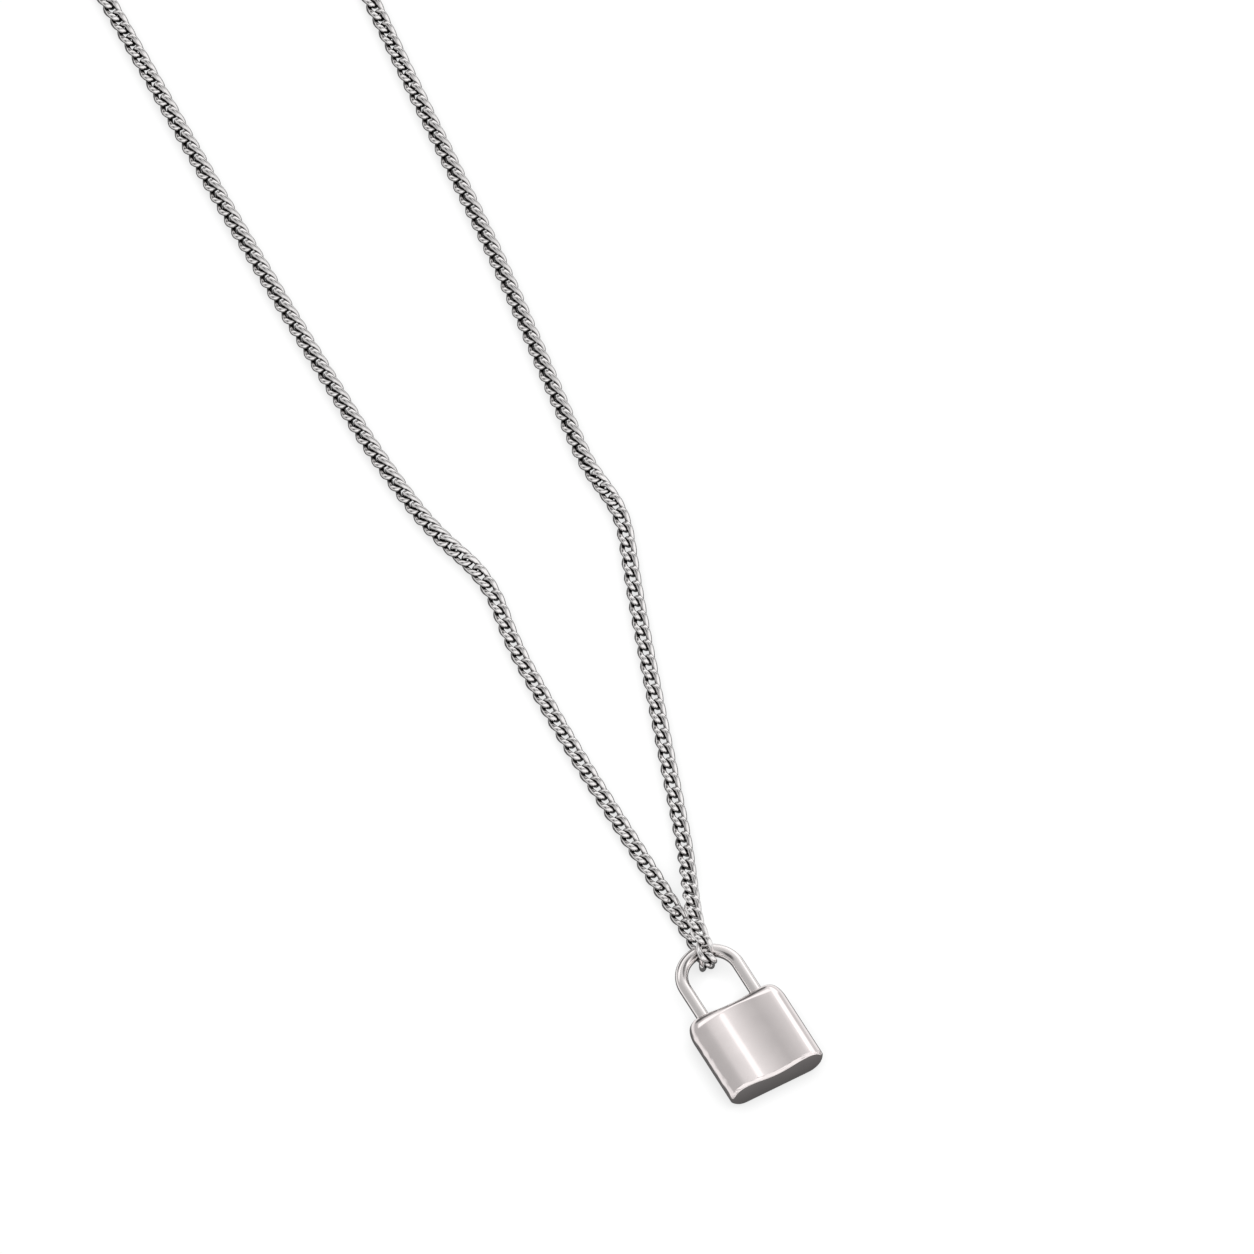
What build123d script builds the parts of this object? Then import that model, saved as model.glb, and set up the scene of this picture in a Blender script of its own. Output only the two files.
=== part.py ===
from build123d import *
from math import cos, radians, sin, tan
import os

os.makedirs("parts", exist_ok=True)

# A padlock pendant on its necklace, laid on a flat surface at z = 0.
# The lock lies on its back: X runs across the lock, +Y towards the shackle and
# up the necklace, +Z out of the surface. The origin is the centre of the back.

# Lock body
body_width = 17.3
body_length = 15.6
body_thick = 5.9
valley_depth = 0.8        # how far the front dips between its two lobes
shoulder_round = 1.3      # edges of the end that holds the shackle
foot_round = 0.45         # edges of the flat foot

# Shackle
shackle_wire = 2.15
shackle_spread = 9.9      # leg centre to leg centre
shackle_rise = 12.5       # top of the bow above the body
leg_depth = 3.0           # length of leg inside the body
leg_clearance = 0.1

# Chain link: an oval ring of round wire, its four corners bent up and down in turn
link_length = 4.6
link_width = 2.7
link_wire = 0.8
link_corner = 0.95        # bend radius of those corners
corner_play = 0.6         # the corners are bent by one wire and this much more

# How the chain is laid
taut_play = 0.2           # how far two links can still part where the chain is straight
slack_play = 0.42         # the same where it lies slack
slack_roll = 60.0         # how far the slack stretches lie over on their left edge
roll_links = 14           # links over which the chain rolls over
unroll_links = 12         # and over which it rolls back, further up
lying_gap = 0.05          # room under the links, which a bend in the route uses up
hang_x = 1.3              # where the chain crosses the bow

# Clasp
clasp_length = 8.0
clasp_diameter = 3.6
clasp_edge = 0.5
eye_wire = 0.6
eye_radius = 1.3          # to the middle of the eye's wire
eye_root = 0.1            # gap between the barrel and the eye's round

# Route of each strand, from the bow to the clasp: x, y, and how high the chain's
# underside is above the surface. The first and last stretches are taut, and the
# middle one is slack, from the kink on.
left_route = [
    [(1.4, 40.0, 0.0), (1.5, 64.0, 0.0), (2.6, 86.0, 0.0)],
    [
        (5.2, 98.2, 0.0),
        (1.4, 111.0, 0.0),
        (0.3, 128.0, 0.0),
        (0.8, 155.0, 0.0),
        (1.7, 184.0, 0.0),
    ],
    [
        (3.9, 225.0, 0.0),
        (4.8, 246.0, 0.0),
        (5.0, 260.0, 0.0),
        (8.2, 267.2, 0.0),
        (13.8, 271.0, 0.3),
    ],
]
right_route = [
    [
        (1.9, 23.2, 4.2),
        (3.6, 27.4, 3.0),
        (5.9, 32.6, 1.3),
        (8.6, 38.8, 0.0),
        (17.8, 65.0, 0.0),
        (24.6, 84.0, 0.0),
    ],
    [
        (30.6, 99.0, 0.0),
        (29.6, 109.0, 0.0),
        (32.2, 126.0, 0.0),
        (35.8, 149.0, 0.0),
        (39.8, 186.0, 0.0),
    ],
    [
        (42.0, 204.0, 0.0),
        (45.9, 245.0, 0.0),
        (46.5, 260.0, 0.0),
        (43.3, 267.2, 0.0),
        (37.5, 271.0, 0.3),
    ],
]

# The three links that fold round the bow: place from the bow's middle, the way the
# link points, and the way its face looks. The places are shares of the distance
# between the middles of the bow's wire and a link's wire that touch.
fold_links = [
    ((-0.054, -0.244, -1.239), (-0.007, -0.998, 0.061), (0.041, 0.061, 0.997)),
    ((-0.341, -1.355, -0.114), (0.225, -0.153, 0.962), (0.257, 0.962, 0.093)),
    ((-0.168, -0.494, 1.331), (0.353, 0.826, 0.439), (0.199, 0.392, -0.898)),
]
left_start = 0.755        # how far past the bow's middle each strand begins
right_start = 0.4
strand_rise = 0.945       # how far above it the underside of the upper one is there

body_top = body_length / 2
bow_radius = shackle_spread / 2
bow_top = body_top + shackle_rise - shackle_wire / 2
bow_middle = Vector(hang_x, bow_top, body_thick / 2)
touching = (shackle_wire + link_wire) / 2
link_twist = link_wire + corner_play
taut_pitch = link_length - 2 * link_wire - taut_play
slack_pitch = link_length - 2 * link_wire - slack_play
eye_centre = clasp_length / 2 + eye_root + eye_radius
clasp_x = (left_route[-1][-1][0] + right_route[-1][-1][0]) / 2
clasp_y = left_route[-1][-1][1]


def lock_body():
    """Flat back, round sides and a front of two lobes with a valley between."""
    crest = body_width / 2 - body_thick / 2
    valley = body_thick - valley_depth
    with BuildPart() as body:
        with BuildSketch(Plane.XZ.offset(-body_top)):
            with BuildLine():
                for side in (1, -1):
                    Line((0, 0), (side * crest, 0))
                    ThreePointArc(
                        (side * crest, 0),
                        (side * body_width / 2, body_thick / 2),
                        (side * crest, body_thick),
                    )
                    middle = (side * crest / 2, body_thick - valley_depth / 2)
                    dip = TangentArc((0, valley), middle, tangent=(side, 0))
                    TangentArc(middle, (side * crest, body_thick), tangent=dip % 1)
            make_face()
        extrude(amount=body_length)
        fillet(body.faces().sort_by(Axis.Y)[-1].edges(), shoulder_round)
        fillet(body.faces().sort_by(Axis.Y)[0].edges(), foot_round)
        with BuildSketch(Plane.XZ.offset(-body_top)):
            with Locations((bow_radius, body_thick / 2), (-bow_radius, body_thick / 2)):
                Circle(shackle_wire / 2 + leg_clearance)
        extrude(amount=leg_depth + leg_clearance, mode=Mode.SUBTRACT)
    return body.part


def lock_shackle():
    """A round wire bent to a U, its legs ending inside the body."""
    foot = body_top - leg_depth
    shoulder = bow_top - bow_radius
    height = body_thick / 2
    with BuildPart() as shackle:
        with BuildLine():
            Line((-bow_radius, foot, height), (-bow_radius, shoulder, height))
            ThreePointArc(
                (-bow_radius, shoulder, height),
                (0, bow_top, height),
                (bow_radius, shoulder, height),
            )
            Line((bow_radius, shoulder, height), (bow_radius, foot, height))
        with BuildSketch(Plane(origin=(-bow_radius, foot, height), z_dir=(0, 1, 0))):
            Circle(shackle_wire / 2)
        sweep()
    return shackle.part


def link_ring():
    """One link, built as two halves that meet on its long sides."""
    end = (link_length - link_wire) / 2
    side = (link_width - link_wire) / 2
    corners = [
        (end, side, -link_twist),
        (end, -side, link_twist),
        (-end, -side, -link_twist),
        (-end, side, link_twist),
    ]
    halves = []
    for near, far in ((0, 1), (2, 3)):
        start = (0, corners[near][1], 0)
        stop = (0, corners[far][1], 0)
        line = FilletPolyline(start, corners[near], corners[far], stop, radius=link_corner)
        halves.append(sweep(Plane(line ^ 0) * Circle(link_wire / 2), path=line))
    return halves[0] + halves[1]


def rounded_route(points):
    """Straight runs joined by the largest arcs that they leave room for."""
    points = [Vector(*point) for point in points]
    radii = []
    for before, here, after in zip(points, points[1:], points[2:]):
        turn = radians((here - before).get_angle(after - here))
        run = min((here - before).length, (after - here).length)
        radii.append(0.45 * run / tan(turn / 2))
    print("bend radii", [round(radius) for radius in radii])
    return FilletPolyline(*points, radius=radii)


def half_height(roll):
    """Half the height of a link that is rolled over about its length."""
    side = (link_width - link_wire) / 2
    crown = (link.bounding_box().size.Z - link_wire) / 2
    reach = link_wire / 2 + side * sin(radians(roll)) + crown * cos(radians(roll))
    return reach + lying_gap


def lay_strand(start, points, stop):
    """Places of a strand's links: taut to the kink, slack beyond it, then taut."""
    taut, slack, last = points
    path = [start] + taut + slack + last + [stop]
    kink = 1 + len(taut)
    edge = kink + len(slack)
    route = rounded_route(path)
    runs = [0]
    for here, there in zip(path, path[1:]):
        runs.append(runs[-1] + (Vector(*there) - Vector(*here)).length)
    slack_start = runs[kink] / runs[-1] * route.length
    slack_end = runs[edge] / runs[-1] * route.length
    stretches = [
        (0, slack_start, taut_pitch),
        (slack_start, slack_end, slack_pitch),
        (slack_end, route.length, taut_pitch),
    ]
    stations = [0]
    for low, high, pitch in stretches:
        count = round((high - low) / pitch)
        stations += [low + (high - low) * step / count for step in range(1, count + 1)]
    joints = []
    for station in stations:
        rolled = (station - slack_start) / (roll_links * slack_pitch)
        unrolled = (slack_end - station) / (unroll_links * slack_pitch)
        roll = slack_roll * max(0, min(1, rolled, unrolled))
        height = half_height(roll) * Vector(0, 0, 1)
        place = route.position_at(station, position_mode=PositionMode.LENGTH)
        joints.append((place + height, roll))
    places = []
    for (here, roll), (there, next_roll) in zip(joints, joints[1:]):
        along = (there - here).normalized()
        across = Vector(0, 0, 1).cross(along)
        flat = Plane(origin=(here + there) / 2, x_dir=along, z_dir=along.cross(across))
        places.append(flat.location * Rot(-(roll + next_roll) / 2, 0, 0))
    return places


def fold_places():
    """The links that pass under, inside and over the bow."""
    places = []
    for offset, along, face in fold_links:
        across = Vector(*face).cross(Vector(*along))
        square = Vector(*along).cross(across)
        centre = bow_middle + Vector(*offset) * touching
        places.append(Plane(origin=centre, x_dir=along, z_dir=square).location)
    return places


def necklace_clasp():
    """A plain barrel with an upright eye at each end."""
    middle = Vector(clasp_x, clasp_y, clasp_diameter / 2)
    barrel = Rot(0, 90, 0) * Cylinder(clasp_diameter / 2, clasp_length)
    clasp = fillet(barrel.edges().filter_by(GeomType.CIRCLE), clasp_edge)
    for side in (1, -1):
        clasp += Pos(side * eye_centre, 0, 0) * Rot(90, 0, 0) * Torus(eye_radius, eye_wire / 2)
    return Pos(*middle) * clasp


link = link_ring()
clasp_end = eye_centre + (link_length - link_wire - taut_pitch) / 2
clasp_lift = clasp_diameter / 2 - half_height(0)
left_places = lay_strand(
    (hang_x, bow_top + left_start * touching, 0),
    left_route,
    (clasp_x - clasp_end, clasp_y, clasp_lift),
)
right_places = lay_strand(
    (hang_x, bow_top + right_start * touching, bow_middle.Z + strand_rise * touching),
    right_route,
    (clasp_x + clasp_end, clasp_y, clasp_lift),
)
under, inside, over = fold_places()
nodes = {
    "lock_body": lock_body(),
    "lock_shackle": lock_shackle(),
    "chain_left": Compound([link.moved(place) for place in [under] + left_places]),
    "chain_right": Compound([link.moved(place) for place in [inside, over] + right_places]),
    "clasp": necklace_clasp(),
}
for name, shape in nodes.items():
    export_step(shape, f"parts/{name}.step")
    print(name, "solids", len(shape.solids()), "volume", round(shape.volume, 1))
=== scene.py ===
import bpy
import bmesh
from math import asin, cos, pi, radians, sin, tan
from mathutils import Matrix, Vector


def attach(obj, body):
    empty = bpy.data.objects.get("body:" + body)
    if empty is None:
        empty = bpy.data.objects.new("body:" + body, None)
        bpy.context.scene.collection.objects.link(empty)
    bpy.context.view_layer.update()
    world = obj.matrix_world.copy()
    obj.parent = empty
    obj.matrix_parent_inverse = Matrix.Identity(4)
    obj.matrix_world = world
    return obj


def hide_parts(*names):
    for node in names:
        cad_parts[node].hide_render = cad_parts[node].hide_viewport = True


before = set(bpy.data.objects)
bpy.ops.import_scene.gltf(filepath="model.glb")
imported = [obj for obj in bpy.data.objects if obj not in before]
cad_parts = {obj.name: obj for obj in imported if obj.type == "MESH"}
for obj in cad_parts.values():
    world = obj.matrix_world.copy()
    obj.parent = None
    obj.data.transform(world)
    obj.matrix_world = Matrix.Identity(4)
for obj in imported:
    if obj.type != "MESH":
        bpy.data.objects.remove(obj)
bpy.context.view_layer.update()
mm = 0.001


# Node trees: a line of maths makes its own nodes

class Wire:
    def __init__(self, graph, socket):
        self.graph = graph
        self.socket = socket

    def maths(self, operation, *values):
        return self.graph.add("ShaderNodeMath", {"operation": operation}, dict(enumerate(values)))

    def __add__(self, other):
        return self.maths("ADD", self, other)

    def __radd__(self, other):
        return self.maths("ADD", other, self)

    def __sub__(self, other):
        return self.maths("SUBTRACT", self, other)

    def __rsub__(self, other):
        return self.maths("SUBTRACT", other, self)

    def __mul__(self, other):
        return self.maths("MULTIPLY", self, other)

    def __rmul__(self, other):
        return self.maths("MULTIPLY", other, self)

    def __truediv__(self, other):
        return self.maths("DIVIDE", self, other)

    def ease(self, low, high, start=0.0, end=1.0):          # smooth step from start to end
        values = {"Value": self, "From Min": low, "From Max": high, "To Min": start, "To Max": end}
        return self.graph.add("ShaderNodeMapRange", {"interpolation_type": "SMOOTHSTEP"}, values)


class Graph:
    def __init__(self, tree):
        self.tree = tree
        tree.nodes.clear()

    def add(self, kind, settings=None, values=None, out=0):
        node = self.tree.nodes.new(kind)
        for name, value in (settings or {}).items():
            if name == "stops":
                setStops(node.color_ramp, value)
            else:
                setattr(node, name, value)
        for name, value in (values or {}).items():
            socket = node.inputs[name]
            if isinstance(value, Wire):
                self.tree.links.new(value.socket, socket)
            elif value is not None:
                socket.default_value = value
        return Wire(self, node.outputs[out]) if len(node.outputs) else node

    def outputs(self, wire, *names):                        # more outputs of the node behind a wire
        return [Wire(self, wire.socket.node.outputs[name]) for name in names]

    def blend(self, share, low, high):                      # mixes two colours
        return self.add("ShaderNodeMix", {"data_type": "RGBA"}, {0: share, 6: low, 7: high}, out=2)


def setStops(ramp, stops):                                  # places and greys along a ramp
    while len(ramp.elements) < len(stops):
        ramp.elements.new(1)
    for element, (place, level) in zip(ramp.elements, stops):
        element.position = place
        element.color = (level, level, level, 1)


# Camera, floor and light

view = {"elevation": 60.0, "turn": 29.2, "distance": 9000.0, "frameWidth": 205.7,
        "lookAt": (20.9, 80.1, 0.0), "sensor": 36.0,
        "clipStart": 100.0, "clipEnd": 30000.0}             # mm and degrees


def makeCamera():
    flat = cos(radians(view["elevation"]))
    turn = radians(view["turn"])
    back = Vector((-flat * sin(turn), -flat * cos(turn), sin(radians(view["elevation"]))))
    camera = bpy.data.objects.new("camera", bpy.data.cameras.new("camera"))
    camera.location = (Vector(view["lookAt"]) + back * view["distance"]) * mm
    camera.rotation_euler = (-back).to_track_quat("-Z", "Y").to_euler()
    camera.data.sensor_width = view["sensor"]
    camera.data.lens = view["sensor"] * view["distance"] / view["frameWidth"]
    camera.data.clip_start = view["clipStart"] * mm
    camera.data.clip_end = view["clipEnd"] * mm
    bpy.context.collection.objects.link(camera)
    bpy.context.scene.camera = camera


paper = {"size": 3000.0, "drop": 0.01, "tone": 1.03,        # mm and brightness
         "shadowReach": 4.0, "shadowTone": 0.80, "shadowEdges": (0.3, 0.95),
         "mirrorReach": 60.0,                               # painted reflection: how bright the steel mirrors it, by distance, dark close to the pieces
         "mirrored": [(0.0, 0.10), (0.10, 0.165), (0.15, 1.0), (0.25, 1.0), (1.0, 0.74)]}


def makeFloor():
    corners = [(x * paper["size"] * mm, y * paper["size"] * mm, -paper["drop"] * mm)
               for x, y in ((-1, -1), (1, -1), (1, 1), (-1, 1))]
    mesh = bpy.data.meshes.new("paper")
    mesh.from_pydata(corners, [], [(0, 1, 2, 3)])
    floor = bpy.data.objects.new("paper", mesh)
    bpy.context.collection.objects.link(floor)
    material = bpy.data.materials.new("paper")
    material.use_nodes = True
    g = Graph(material.node_tree)
    path = g.add("ShaderNodeLightPath")
    seen, length = g.outputs(path, "Is Camera Ray", "Ray Length")
    # painted shadow: for the camera the glowing paper darkens by occlusion near the pieces
    near = g.add("ShaderNodeAmbientOcclusion", {"samples": 24},
                 {"Distance": paper["shadowReach"] * mm}, out=1)
    plain = near.ease(*paper["shadowEdges"], paper["shadowTone"], paper["tone"])
    # painted reflection: to other rays the paper is dark for short rays, which meet it close to the
    # pieces, and dimmer far off
    deep = g.add("ShaderNodeValToRGB", {"stops": paper["mirrored"]},
                 {"Fac": length / (paper["mirrorReach"] * mm)})
    level = seen * plain + (1 - seen) * deep
    glow = g.add("ShaderNodeEmission", None, {"Color": (1, 1, 1, 1), "Strength": level})
    g.add("ShaderNodeOutputMaterial", None, {"Surface": glow})
    mesh.materials.append(material)


# Brightness of the surround from left to right, then of the soft box behind the camera, the
# strip light and the unlit gaps, each with the y and z of the directions where it starts or ends
studio = {"side": [(0.0, 0.54), (0.25, 0.56), (0.40, 0.60), (0.50, 0.665), (0.62, 0.785),
                   (0.735, 0.92), (0.785, 1.0), (0.81, 1.35), (0.922, 1.35), (0.94, 0.75),
                   (1.0, 0.60)],
          "box": 1.15, "boxY": (0.35, 0.60), "boxZ": (0.10, 0.25),
          "strip": 1.3, "stripY": (0.63, 0.67), "stripEndY": (0.80, 0.84), "stripZ": (0.3, 0.5),
          "unlit": 0.8, "gapY": (-0.28, -0.08), "gapEndY": (0.24, 0.36),
          "gapZ": (0.45, 0.6), "gapEndZ": (0.9, 0.97), "farY": (0.86, 0.94)}


def makeSky():
    world = bpy.data.worlds.new("studio")
    world.use_nodes = True
    bpy.context.scene.world = world
    g = Graph(world.node_tree)
    path = g.add("ShaderNodeLightPath")
    seen, = g.outputs(path, "Is Camera Ray")
    toward = g.add("ShaderNodeTexCoord")
    x = g.add("ShaderNodeSeparateXYZ", None, {"Vector": toward})
    y, z = g.outputs(x, "Y", "Z")
    side = g.add("ShaderNodeValToRGB", {"stops": studio["side"]}, {"Fac": x * 0.5 + 0.5})
    box = (-1 * y).ease(*studio["boxY"]) * z.ease(*studio["boxZ"])
    strip = y.ease(*studio["stripY"]) * (1 - y.ease(*studio["stripEndY"])) * z.ease(*studio["stripZ"])
    gap = y.ease(*studio["gapY"]) * (1 - y.ease(*studio["gapEndY"]))
    gap = gap * z.ease(*studio["gapZ"]) * (1 - z.ease(*studio["gapEndZ"]))
    dark = gap + y.ease(*studio["farY"])
    level = side * (1 - dark * studio["unlit"]) * (1 - box) + box * studio["box"]
    level = level * (1 - strip) + strip * studio["strip"]
    level = seen * paper["tone"] + (1 - seen) * level
    sky = g.add("ShaderNodeBackground", None, {"Color": (1, 1, 1, 1), "Strength": level})
    g.add("ShaderNodeOutputWorld", None, {"Surface": sky})


makeCamera()
makeFloor()
makeSky()
bpy.context.scene.view_settings.view_transform = "Standard"
print("camera, floor and light made")


# Steel

polish = {"grain": 9000.0, "grainDepth": 0.02, "grainRough": 0.04,
          "cloud": 260.0, "cloudEdges": (0.35, 0.65), "cloudTone": 0.96, "cloudRough": 0.08,
          # painted shade between the chain's links: how far it reaches, its edges and its dark colour
          "paintedShadeReach": 1.0, "paintedShadeEdges": (0.35, 0.88), "paintedShadeTint": (0.02, 0.018, 0.018, 1)}
dents = {"size": 800.0, "rim": (7.7, 8.3), "rimStretch": (0.9, 0.6, 0.9), "rimDepth": 0.15,
         "foot": (7.25, 7.35), "footEnd": (7.70, 7.79),
         "footStretch": (0.4, 2.0, 2.0), "footDepth": 0.20}     # mm from the lock's middle


def steel(name, tint, roughness, lengthwise, scratches, paintedShade=0.0, dented=False):
    material = bpy.data.materials.new(name)
    material.use_nodes = True
    g = Graph(material.node_tree)
    place = g.add("ShaderNodeTexCoord", None, None, out=3)
    along = g.add("ShaderNodeMapping", None, {"Vector": place, "Scale": lengthwise})
    grain = g.add("ShaderNodeTexNoise", None,
                  {"Vector": along, "Scale": polish["grain"], "Detail": 3.0})
    cloud = g.add("ShaderNodeTexNoise", None,
                  {"Vector": place, "Scale": polish["cloud"], "Detail": 4.0})
    duller = [c * polish["cloudTone"] for c in tint]
    colour = g.blend(cloud.ease(*polish["cloudEdges"]), (*duller, 1), (*tint, 1))
    if paintedShade:                                               # painted shade: the colour darkens where the wires come close, standing in for the shade between the links
        clear = g.add("ShaderNodeAmbientOcclusion", {"samples": 16},
                      {"Distance": polish["paintedShadeReach"] * mm}, out=1)
        clear = clear.ease(*polish["paintedShadeEdges"], 1 - paintedShade)
        colour = g.blend(clear, polish["paintedShadeTint"], colour)
    rough = roughness + (cloud - 0.5) * polish["cloudRough"] + (grain - 0.5) * polish["grainRough"]
    height = grain * scratches * polish["grainDepth"]
    if dented:                                              # along the left rim and the foot's edge
        x = g.add("ShaderNodeSeparateXYZ", None, {"Vector": place})
        y, = g.outputs(x, "Y")

        def edges(socket, name):                            # from 0 to 1 between two places
            low, high = dents[name]
            return (-1 * socket).ease(low * mm, high * mm)

        rim = edges(x, "rim")
        foot = edges(y, "foot") * (1 - edges(y, "footEnd"))
        for edge, part in ((rim, "rim"), (foot, "foot")):
            drawn = g.add("ShaderNodeMapping", None,
                          {"Vector": place, "Scale": dents[part + "Stretch"]})
            wave = g.add("ShaderNodeTexNoise", None,
                         {"Vector": drawn, "Scale": dents["size"], "Detail": 1.0})
            height = height + (wave - 0.5) * edge * dents[part + "Depth"]
    bump = g.add("ShaderNodeBump", None, {"Strength": 1.0, "Distance": 1.0 * mm, "Height": height})
    skin = g.add("ShaderNodeBsdfPrincipled", None,
                 {"Base Color": colour, "Metallic": 1.0, "Roughness": rough, "Normal": bump})
    g.add("ShaderNodeOutputMaterial", None, {"Surface": skin})
    return material


lockSteel = steel("lock steel", tint=(0.845, 0.785, 0.778), roughness=0.10,
                  lengthwise=(1.0, 0.04, 1.0), scratches=0.10, dented=True)
shackleSteel = steel("shackle steel", tint=(0.86, 0.82, 0.81), roughness=0.15,
                     lengthwise=(1.0, 0.3, 1.0), scratches=0.10)
# the chain's colour carries painted shade where its links come close
chainSteel = steel("chain steel", tint=(0.82, 0.80, 0.795), roughness=0.13,
                   lengthwise=(1.0, 1.0, 1.0), scratches=0.10, paintedShade=0.92)


def finish(name, mesh, material, node):           # puts a mesh in the place of a node
    mesh.materials.clear()
    mesh.materials.append(material)
    piece = bpy.data.objects.new(name, mesh)
    bpy.context.collection.objects.link(piece)
    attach(piece, "root")
    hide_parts(node)


def loft(bm, rings):                                        # skins closed rings of the same count
    rows = [[bm.verts.new(Vector(p) * mm) for p in ring] for ring in rings]
    for low, high in zip(rows, rows[1:]):
        for i in range(len(low)):
            j = (i + 1) % len(low)
            bm.faces.new((low[i], low[j], high[j], high[i]))
    return rows


def plainMesh(bm, name):
    bmesh.ops.recalc_face_normals(bm, faces=bm.faces)
    mesh = bpy.data.meshes.new(name)
    bm.to_mesh(mesh)
    bm.free()
    mesh.shade_smooth()
    mesh.set_sharp_from_angle(angle=radians(30))
    return mesh


# Lock body

lock = {"width": 17.3, "length": 15.6, "thick": 5.9,
        "dip": 0.8,                                         # between the two lobes
        "shoulder": 1.3, "valleyShoulder": 1.3, "lobeShoulder": 3.0, "lobeEdge": 1.0,
        "foot": 0.48, "footTilt": (31.0, 52.0),             # a crowned chamfer, in degrees
        "socket": 1.175, "mouth": 0.05, "legDepth": 3.1,
        "sideSteps": 40, "waveSteps": 22, "backSteps": 16, "footSteps": 6, "lengthSteps": 24,
        "shoulderSteps": 24, "socketSides": 40}
shackle = {"wire": 2.15, "spread": 9.9, "rise": 12.5, "depth": 3.0,
           "sides": 40, "bowSteps": 64, "legSteps": 12}


def arcPoints(centre, radius, start, end, steps):           # points and normals, without the last
    out = []
    for i in range(steps):
        turn = start + (end - start) * i / steps
        normal = Vector((cos(turn), sin(turn)))
        out.append((Vector(centre) + normal * abs(radius), normal * (1 if radius > 0 else -1)))
    return out


def lockOutline():                                          # x and z round the body, with normals
    half = lock["thick"] / 2
    crest = lock["width"] / 2 - half
    reach = crest / 2
    wave = (reach ** 2 + (lock["dip"] / 2) ** 2) / lock["dip"]
    swing = asin(reach / wave)
    top = lock["thick"]
    n = lock["waveSteps"]
    back = lock["backSteps"]
    points = [(Vector((-crest + 2 * crest * i / back, 0)), Vector((0, -1))) for i in range(back)]
    points += arcPoints((crest, half), half, -pi / 2, pi / 2, lock["sideSteps"])
    points += arcPoints((crest, top - wave), wave, pi / 2, pi / 2 + swing, n)
    points += arcPoints((0, top - lock["dip"] + wave), -wave,
                        -pi / 2 + swing, -pi / 2 - swing, 2 * n)
    points += arcPoints((-crest, top - wave), wave, pi / 2 - swing, pi / 2, n)
    points += arcPoints((-crest, half), half, pi / 2, 3 * pi / 2, lock["sideSteps"])
    return points


def makeLockBody():
    outline = lockOutline()
    top = lock["length"] / 2
    rings = []

    def ring(y, inset):
        rings.append([(p.x - n.x * inset, y, p.y - n.y * inset) for p, n in outline])

    low, high = (radians(turn) for turn in lock["footTilt"])
    radius = lock["foot"] / (sin(high) - sin(low))
    for i in range(lock["footSteps"] + 1):
        turn = high + (low - high) * i / lock["footSteps"]
        ring(-top + radius * (sin(high) - sin(turn)), radius * (cos(low) - cos(turn)))
    start = -top + lock["foot"]
    ends = []
    for p, n in outline:                                    # the shoulder is softer on the lobes
        lobe = min(1, abs(p.x) / (lock["width"] / 2 - lock["lobeEdge"]))
        lobe = lobe * lobe * (3 - 2 * lobe)
        ends.append(lock["valleyShoulder"] + (lock["lobeShoulder"] - lock["valleyShoulder"]) * lobe)
    for i in range(1, lock["lengthSteps"]):
        rings.append([(p.x, start + (top - soft - start) * i / lock["lengthSteps"], p.y)
                      for (p, n), soft in zip(outline, ends)])
    for i in range(lock["shoulderSteps"] + 1):
        turn = pi / 2 * i / lock["shoulderSteps"]
        inset = lock["shoulder"] * (1 - cos(turn))
        rings.append([(p.x - n.x * inset, top - soft * (1 - sin(turn)), p.y - n.y * inset)
                      for (p, n), soft in zip(outline, ends)])
    bm = bmesh.new()
    rows = loft(bm, rings)
    bm.faces.new(rows[0])
    rim = rows[-1]
    edges = [bm.edges.get((a, b)) for a, b in zip(rim, rim[1:] + rim[:1])]
    for side in (1, -1):                                    # the sockets that the legs stand in
        sides = lock["socketSides"]
        turns = [2 * pi * i / sides for i in range(sides)]
        mouths = []
        for y, radius in ((top, lock["socket"] + lock["mouth"]),
                          (top - lock["mouth"], lock["socket"]),
                          (top - lock["legDepth"], lock["socket"])):
            mouths.append([(side * shackle["spread"] / 2 + radius * cos(a), y,
                            lock["thick"] / 2 + radius * sin(a)) for a in turns])
        walls = loft(bm, mouths)
        bm.faces.new(walls[-1])
        mouth = walls[0]
        edges += [bm.edges.get((a, b)) for a, b in zip(mouth, mouth[1:] + mouth[:1])]
    bmesh.ops.triangle_fill(bm, edges=edges, use_dissolve=False, normal=(0, 1, 0))
    return plainMesh(bm, "lock_body_polished")


def sweepRound(bm, centres, directions, radius, sides, closed=False, flat=Vector((0, 0, 1))):
    rings = []                                              # a round wire along a flat path
    for centre, along in zip(centres, directions):
        side = along.cross(flat).normalized()
        up = side.cross(along).normalized()
        rings.append([centre + (side * cos(a) + up * sin(a)) * radius
                      for a in (2 * pi * i / sides for i in range(sides))])
    if closed:
        rings.append(rings[0])
    rows = loft(bm, rings)
    if closed:
        bmesh.ops.remove_doubles(bm, verts=bm.verts, dist=1e-7)
    else:
        bm.faces.new(rows[0])
        bm.faces.new(rows[-1])


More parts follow.
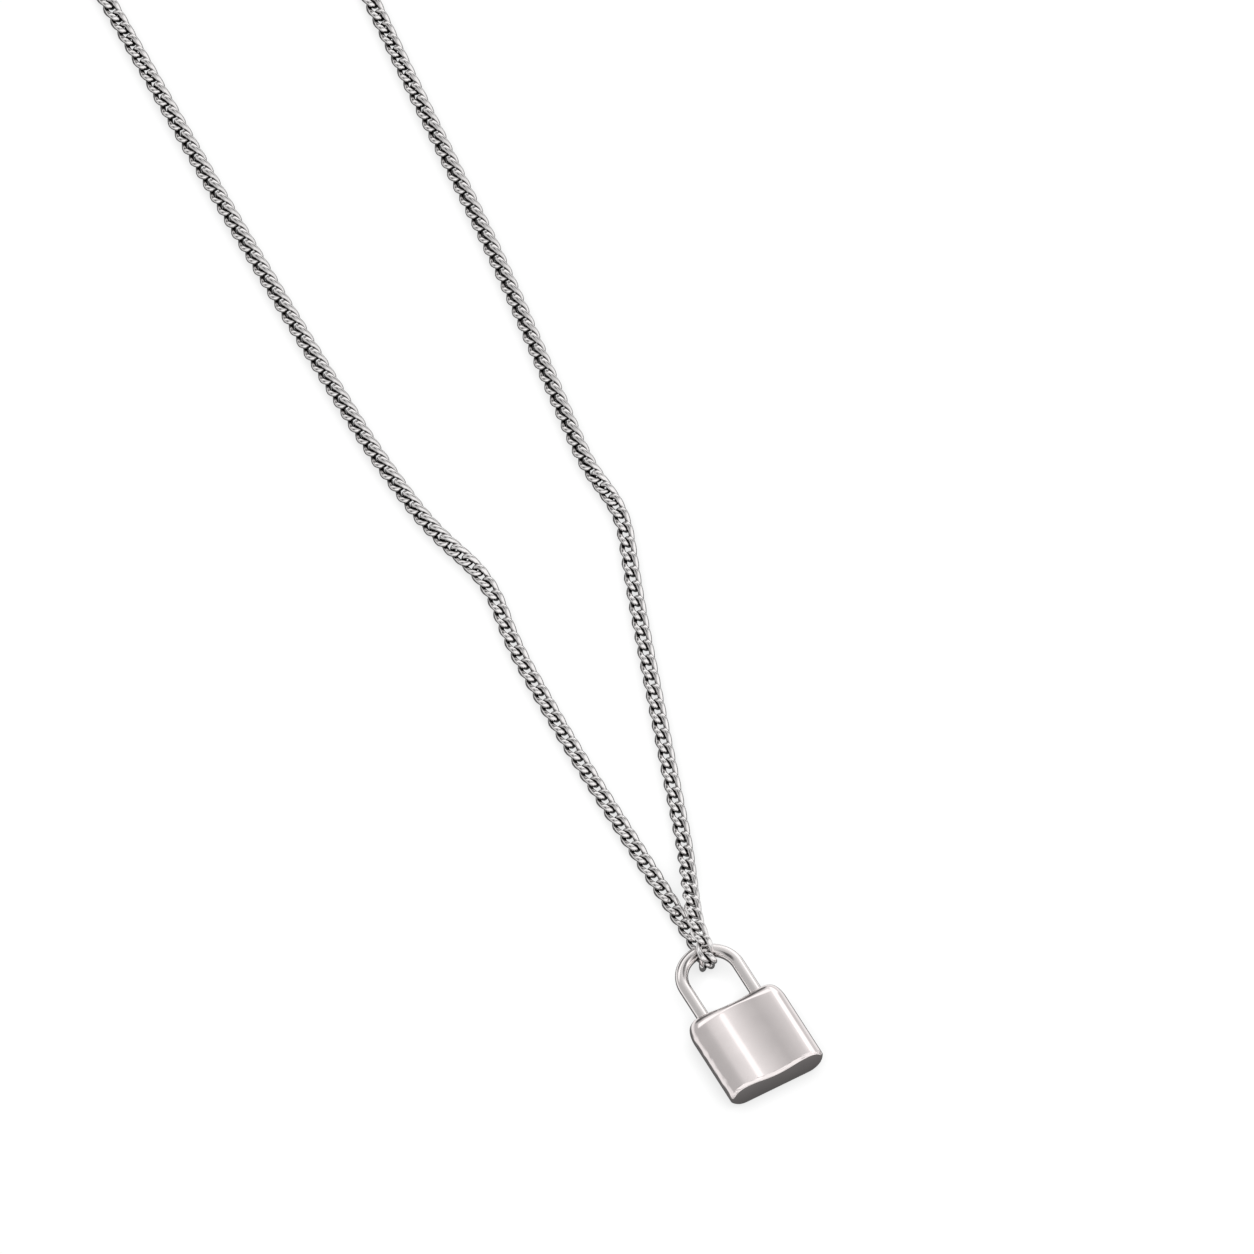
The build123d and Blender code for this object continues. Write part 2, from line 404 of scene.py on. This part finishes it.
def makeShackle():
    bodyTop = lock["length"] / 2
    radius = shackle["spread"] / 2
    height = lock["thick"] / 2
    foot = bodyTop - shackle["depth"]
    shoulder = bodyTop + shackle["rise"] - shackle["wire"] / 2 - radius
    centres, directions = [], []
    legSteps = shackle["legSteps"]
    for i in range(legSteps):
        centres.append(Vector((-radius, foot + (shoulder - foot) * i / legSteps, height)))
        directions.append(Vector((0, 1, 0)))
    for i in range(shackle["bowSteps"] + 1):
        turn = pi - pi * i / shackle["bowSteps"]
        centres.append(Vector((radius * cos(turn), shoulder + radius * sin(turn), height)))
        directions.append(Vector((sin(turn), -cos(turn), 0)))
    for i in range(1, legSteps + 1):
        centres.append(Vector((radius, shoulder + (foot - shoulder) * i / legSteps, height)))
        directions.append(Vector((0, -1, 0)))
    bm = bmesh.new()
    sweepRound(bm, centres, directions, shackle["wire"] / 2, shackle["sides"])
    return plainMesh(bm, "shackle_polished")


finish("lock_body_polished", makeLockBody(), lockSteel, "lock_body")
finish("shackle_polished", makeShackle(), shackleSteel, "lock_shackle")
print("lock made")


# Chain

link = {"length": 4.6, "width": 2.7, "wire": 0.8, "corner": 0.95, "play": 0.6,
        "shownWire": 0.94, "height": 0.64, "sides": 12, "steps": 30}
laid = {"tautPlay": 0.2, "slackPlay": 0.42,                 # how far two links can still part
        "slackRoll": 42.0, "rollLinks": 4, "unrollLinks": 12,
        "gap": 0.05, "hangX": 1.3, "leftStart": 0.755, "rightStart": 0.4, "rise": 0.945}
clasp = {"length": 8.0, "diameter": 3.6, "edge": 0.5, "seam": 0.06, "pole": 0.02, "sides": 48,
         "edgeSteps": 8, "eyeWire": 0.6, "eyeRadius": 1.3, "root": 0.1, "eyeSides": 16}

# The strands from the bow to the clasp: x, y, and how high the chain's underside lies
leftRoute = [(1.4, 40.0, 0.0), (1.5, 64.0, 0.0), (2.6, 86.0, 0.0), (5.2, 98.2, 0.0),
             (1.4, 111.0, 0.0), (0.3, 128.0, 0.0), (0.8, 155.0, 0.0), (1.7, 184.0, 0.0),
             (3.9, 225.0, 0.0), (4.8, 246.0, 0.0), (5.0, 260.0, 0.0), (8.2, 267.2, 0.0),
             (13.8, 271.0, 0.3)]
rightRoute = [(1.9, 23.2, 4.2), (3.6, 27.4, 3.0), (5.9, 32.6, 1.3), (8.6, 38.8, 0.0),
              (17.8, 65.0, 0.0), (24.6, 84.0, 0.0), (30.6, 99.0, 0.0), (29.6, 109.0, 0.0),
              (32.2, 126.0, 0.0), (35.8, 149.0, 0.0), (39.8, 186.0, 0.0), (42.0, 204.0, 0.0),
              (45.9, 245.0, 0.0), (46.5, 260.0, 0.0), (43.3, 267.2, 0.0), (37.5, 271.0, 0.3)]
leftSlack, rightSlack = (4, 9), (7, 12)                     # the stretch that lies slack

# The links round the bow: place from its middle, the way they point and the way they face
foldLinks = [((-0.054, -0.244, -1.239), (-0.007, -0.998, 0.061), (0.041, 0.061, 0.997)),
             ((-0.341, -1.355, -0.114), (0.225, -0.153, 0.962), (0.257, 0.962, 0.093)),
             ((-0.168, -0.494, 1.331), (0.353, 0.826, 0.439), (0.199, 0.392, -0.898))]

bowTop = lock["length"] / 2 + shackle["rise"] - shackle["wire"] / 2
bowMiddle = Vector((laid["hangX"], bowTop, lock["thick"] / 2))
touching = (shackle["wire"] + link["wire"]) / 2
linkEnd = (link["length"] - link["wire"]) / 2
linkSide = (link["width"] - link["wire"]) / 2
linkTwist = link["wire"] + link["play"]
tautPitch = link["length"] - 2 * link["wire"] - laid["tautPlay"]
slackPitch = link["length"] - 2 * link["wire"] - laid["slackPlay"]
eyeCentre = clasp["length"] / 2 + clasp["root"] + clasp["eyeRadius"]
claspX = (leftRoute[-1][0] + rightRoute[-1][0]) / 2
claspY = leftRoute[-1][1]


class RoundedRoute:                                         # straight runs joined by arcs
    def __init__(self, points):
        points = [Vector(p) for p in points]
        self.spans = []                                     # length, start, along, inward, radius
        last = points[0]
        for before, here, after in zip(points, points[1:], points[2:]):
            into = (here - before).normalized()
            out = (after - here).normalized()
            turn = into.angle(out)
            back = 0.45 * min((here - before).length, (after - here).length)
            radius = back / tan(turn / 2)
            start = here - into * back
            self.spans.append(((start - last).length, last, into, None, 0))
            inward = (out - into * into.dot(out)).normalized()
            self.spans.append((radius * turn, start, into, inward, radius))
            last = here + out * back
        into = (points[-1] - last).normalized()
        self.spans.append(((points[-1] - last).length, last, into, None, 0))
        self.length = sum(span[0] for span in self.spans)

    def at(self, distance):
        for span in self.spans:
            length, start, into, inward, radius = span
            if distance <= length or span is self.spans[-1]:
                break
            distance -= length
        if inward is None:
            return start + into * distance
        turn = distance / radius
        return start + into * (radius * sin(turn)) + inward * (radius * (1 - cos(turn)))


def linkCrown():                                            # how high the middle of the wire rises
    corner = Vector((linkEnd, linkSide, linkTwist))
    into = (corner - Vector((-linkEnd, linkSide, -linkTwist))).normalized()
    out = (Vector((linkEnd, -linkSide, -linkTwist)) - corner).normalized()
    turn = into.angle(out)
    start = corner - into * link["corner"] * tan(turn / 2)
    inward = (out - into * into.dot(out)).normalized()
    steps = 200
    heights = []
    for i in range(steps + 1):
        a = turn * i / steps
        heights.append((start + (into * sin(a) + inward * (1 - cos(a))) * link["corner"]).z)
    return max(heights)


crown = linkCrown()


def halfHeight(roll):                                       # of a link rolled over about its length
    return link["wire"] / 2 + linkSide * sin(roll) + crown * cos(roll) + laid["gap"]


def linkFrame(centre, along, face, roll=0.0):               # a link's place as a matrix
    across = face.cross(along).normalized()
    face = along.cross(across)
    turned = Matrix((along, across, face)).transposed().to_4x4()
    return Matrix.Translation(centre * mm) @ turned @ Matrix.Rotation(-roll, 4, "X")


def layStrand(start, points, stop, slack):                  # spaces the links along a route
    path = [start] + points + [stop]
    route = RoundedRoute(path)
    runs = [0]
    for here, there in zip(path, path[1:]):
        runs.append(runs[-1] + (Vector(there) - Vector(here)).length)
    slackStart, slackEnd = (runs[i] / runs[-1] * route.length for i in slack)
    stations = [0]
    stretches = ((0, slackStart, tautPitch), (slackStart, slackEnd, slackPitch),
                 (slackEnd, route.length, tautPitch))
    for low, high, pitch in stretches:
        count = round((high - low) / pitch)
        stations += [low + (high - low) * step / count for step in range(1, count + 1)]
    joints = []
    for station in stations:
        rolled = (station - slackStart) / (laid["rollLinks"] * slackPitch)
        unrolled = (slackEnd - station) / (laid["unrollLinks"] * slackPitch)
        roll = radians(laid["slackRoll"]) * max(0, min(1, rolled, unrolled))
        joints.append((route.at(station) + Vector((0, 0, halfHeight(roll))), roll))
    frames = []
    for (here, roll), (there, nextRoll) in zip(joints, joints[1:]):
        along = (there - here).normalized()
        middle = (here + there) / 2
        frames.append(linkFrame(middle, along, Vector((0, 0, 1)), (roll + nextRoll) / 2))
    return frames


claspEnd = eyeCentre + (link["length"] - link["wire"] - tautPitch) / 2
claspLift = clasp["diameter"] / 2 - halfHeight(0)
leftFrames = layStrand((laid["hangX"], bowTop + laid["leftStart"] * touching, 0), leftRoute,
                       (claspX - claspEnd, claspY, claspLift), leftSlack)
rightFrames = layStrand((laid["hangX"], bowTop + laid["rightStart"] * touching,
                         bowMiddle.z + laid["rise"] * touching), rightRoute,
                        (claspX + claspEnd, claspY, claspLift), rightSlack)
foldFrames = []
for offset, along, face in foldLinks:
    along = Vector(along).normalized()
    foldFrames.append(linkFrame(bowMiddle + Vector(offset) * touching, along, Vector(face)))


def linkTree():                                             # sets a bent wire ring on every point
    tree = bpy.data.node_groups.new("laid links", "GeometryNodeTree")
    face = tree.interface
    face.new_socket("Geometry", in_out="INPUT", socket_type="NodeSocketGeometry")
    for name in ("Half Length", "Half Width", "Height", "Wire"):
        face.new_socket(name, in_out="INPUT", socket_type="NodeSocketFloat")
    for name in ("Sides", "Steps"):
        face.new_socket(name, in_out="INPUT", socket_type="NodeSocketInt")
    face.new_socket("Steel", in_out="INPUT", socket_type="NodeSocketMaterial")
    face.new_socket("Geometry", in_out="OUTPUT", socket_type="NodeSocketGeometry")
    g = Graph(tree)
    points = g.add("NodeGroupInput")
    halfLength, halfWidth, height, wire, sides, steps, metal = g.outputs(
        points, "Half Length", "Half Width", "Height", "Wire", "Sides", "Steps", "Steel")
    ring = g.add("GeometryNodeCurvePrimitiveCircle", None, {"Resolution": steps, "Radius": 1.0})
    x = g.add("ShaderNodeSeparateXYZ", None, {"Vector": g.add("GeometryNodeInputPosition")})
    y, = g.outputs(x, "Y")                                  # an oval, its quarters bent up and down
    bent = g.add("ShaderNodeCombineXYZ", None,
                 {"X": x * halfLength, "Y": y * halfWidth, "Z": x * y * -2 * height})
    ring = g.add("GeometryNodeSetPosition", None, {"Geometry": ring, "Position": bent})
    profile = g.add("GeometryNodeCurvePrimitiveCircle", None,
                    {"Resolution": sides, "Radius": wire / 2})
    ring = g.add("GeometryNodeCurveToMesh", None, {"Curve": ring, "Profile Curve": profile})
    turned = g.add("GeometryNodeInputNamedAttribute", {"data_type": "FLOAT_VECTOR"},
                   {"Name": "turned"})
    turn = g.add("FunctionNodeEulerToRotation", None, {"Euler": turned})
    links = g.add("GeometryNodeInstanceOnPoints", None,
                  {"Points": points, "Instance": ring, "Rotation": turn})
    links = g.add("GeometryNodeRealizeInstances", None, {"Geometry": links})
    links = g.add("GeometryNodeSetShadeSmooth", None, {"Geometry": links})
    links = g.add("GeometryNodeSetMaterial", None, {"Geometry": links, "Material": metal})
    g.add("NodeGroupOutput", None, {"Geometry": links})
    return tree


def makeLinks(name, frames):                                # one plain mesh of all the links
    points = bpy.data.meshes.new(name)
    points.from_pydata([f.translation for f in frames], [], [])
    turned = points.attributes.new("turned", "FLOAT_VECTOR", "POINT")
    for item, place in zip(turned.data, frames):
        item.vector = place.to_euler()
    carrier = bpy.data.objects.new(name + "_points", points)
    bpy.context.collection.objects.link(carrier)
    modifier = carrier.modifiers.new("links", "NODES")
    modifier.node_group = chainTree
    sizes = {"Half Length": linkEnd * mm, "Half Width": linkSide * mm,
             "Height": link["height"] * mm, "Wire": link["shownWire"] * mm,
             "Sides": link["sides"], "Steps": link["steps"], "Steel": chainSteel}
    for item in chainTree.interface.items_tree:
        if item.in_out == "INPUT" and item.name in sizes:
            modifier[item.identifier] = sizes[item.name]
    bpy.context.view_layer.update()
    evaluated = carrier.evaluated_get(bpy.context.evaluated_depsgraph_get())
    mesh = bpy.data.meshes.new_from_object(evaluated)
    carrier.modifiers.clear()
    bpy.data.objects.remove(carrier)
    return mesh


chainTree = linkTree()
leftLinks = makeLinks("chain_left_links", [foldFrames[0]] + leftFrames)
finish("chain_left_links", leftLinks, chainSteel, "chain_left")
rightLinks = makeLinks("chain_right_links", foldFrames[1:] + rightFrames)
finish("chain_right_links", rightLinks, chainSteel, "chain_right")
print("links", len(leftFrames) + len(rightFrames) + len(foldFrames))


# Clasp

def makeClasp():
    half, radius, edge = clasp["length"] / 2, clasp["diameter"] / 2, clasp["edge"]
    seam = clasp["seam"]
    end = [(-half, clasp["pole"])]
    for i in range(clasp["edgeSteps"] + 1):
        turn = pi / 2 * i / clasp["edgeSteps"]
        end.append((-half + edge * (1 - cos(turn)), radius - edge * (1 - sin(turn))))
    groove = [(-seam, radius), (-seam / 2, radius - seam),
              (seam / 2, radius - seam), (seam, radius)]
    line = end + groove + [(-x, r) for x, r in reversed(end)]
    turns = [2 * pi * i / clasp["sides"] for i in range(clasp["sides"])]
    bm = bmesh.new()
    middle = Vector((claspX, claspY, radius))
    rings = [[middle + Vector((x, r * cos(a), r * sin(a))) for a in turns] for x, r in line]
    rows = loft(bm, rings)
    bm.faces.new(rows[0])
    bm.faces.new(rows[-1])
    for side in (1, -1):
        centre = middle + Vector((side * eyeCentre, 0, 0))
        around = [centre + Vector((cos(a), 0, sin(a))) * clasp["eyeRadius"] for a in turns]
        directions = [Vector((-sin(a), 0, cos(a))) for a in turns]
        eye = bmesh.new()
        sweepRound(eye, around, directions, clasp["eyeWire"] / 2, clasp["eyeSides"],
                   closed=True, flat=Vector((0, 1, 0)))
        ringMesh = bpy.data.meshes.new("eye")
        eye.to_mesh(ringMesh)
        eye.free()
        bm.from_mesh(ringMesh)
        bpy.data.meshes.remove(ringMesh)
    return plainMesh(bm, "clasp_polished")


finish("clasp_polished", makeClasp(), shackleSteel, "clasp")
print("clasp made")
